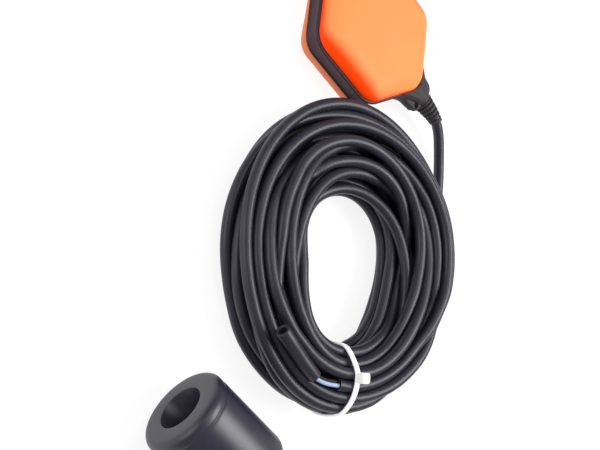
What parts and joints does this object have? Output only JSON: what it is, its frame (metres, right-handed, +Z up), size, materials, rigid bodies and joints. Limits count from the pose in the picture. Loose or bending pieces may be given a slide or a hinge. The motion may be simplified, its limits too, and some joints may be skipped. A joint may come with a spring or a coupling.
{
  "type": "cable float switch",
  "caption": "Hexagonal float switch with a ribbed cable gland, its supply cable coiled under a nylon tie, and a loose cylindrical counterweight.",
  "frame": {"origin": "centre of the float's flat rear face, which lies on the surface, midway between the float's two long sides", "axes": "+X toward the float's nose and cable gland, +Y across the float away from the coil, +Z up from the surface"},
  "size_m": [0.2113, 0.338, 0.051],
  "materials": {
    "cover_orange": "moulded polypropylene, soft sheen",
    "frame_black": "moulded black plastic, satin",
    "gland_black": "moulded black plastic, matte",
    "seal_rubber": "black rubber",
    "chamber_white": "moulded white plastic",
    "trough_cream": "moulded acetal",
    "bright_steel": "ground steel",
    "ball_chrome": "polished bearing steel",
    "switch_black": "phenolic housing",
    "plunger_red": "moulded red plastic",
    "terminal_brass": "bare brass",
    "cable_black": "PVC jacket, slight gloss",
    "core_brown": "PVC insulation",
    "core_black": "PVC insulation",
    "core_blue": "PVC insulation",
    "nylon_white": "natural nylon",
    "weight_grey": "moulded dark grey plastic, satin",
    "ballast_iron": "cast filling"
  },
  "bodies": {
    "float": {"front_cover": "cover_orange", "rear_cover": "cover_orange", "mid_frame": "frame_black", "gland_block": "gland_black", "gland_grommet": "seal_rubber", "strain_relief": "gland_black", "chamber_base": "chamber_white", "chamber_lid": "chamber_white", "lid_screws": "bright_steel", "pivot_pin": "bright_steel", "switch_case": "switch_black", "switch_terminals": "terminal_brass", "wire_brown": "core_brown", "wire_black": "core_black", "wire_blue": "core_blue", "cable_root": "cable_black", "cable_lead": "cable_black", "cable_coil": "cable_black", "cable_tail": "cable_black", "core_brown": "core_brown", "core_black": "core_black", "core_blue": "core_blue", "jacket_slug": "cable_black", "cable_tie": "nylon_white"},
    "trough": {"trough": "trough_cream"},
    "ball": {"steel_ball": "ball_chrome"},
    "plunger": {"switch_plunger": "plunger_red"},
    "counterweight": {"weight_shell": "weight_grey", "weight_cap": "weight_grey", "weight_ballast": "ballast_iron"}
  },
  "joints": [
    {"name": "trough_tilt", "type": "hinge", "parent": "float", "child": "trough", "pos_m": [0, 0, 0.008], "axis": [0, 1, 0], "range_deg": [-10, 0]},
    {"name": "ball_roll", "type": "slide", "parent": "trough", "child": "ball", "axis": [-0.9962, 0, 0.0872], "range_m": [0, 0.0304]},
    {"name": "plunger_press", "type": "slide", "parent": "float", "child": "plunger", "axis": [0, 0, -1], "range_m": [0, 0.00175]},
    {"name": "counterweight_lift", "type": "slide", "parent": "float", "child": "counterweight", "axis": [0, 0, 1], "range_m": [0, 0.15]}
  ],
  "couplings": [
    {"joint": "plunger_press", "follows": "trough_tilt", "m_per_rad": -0.00998}
  ]
}
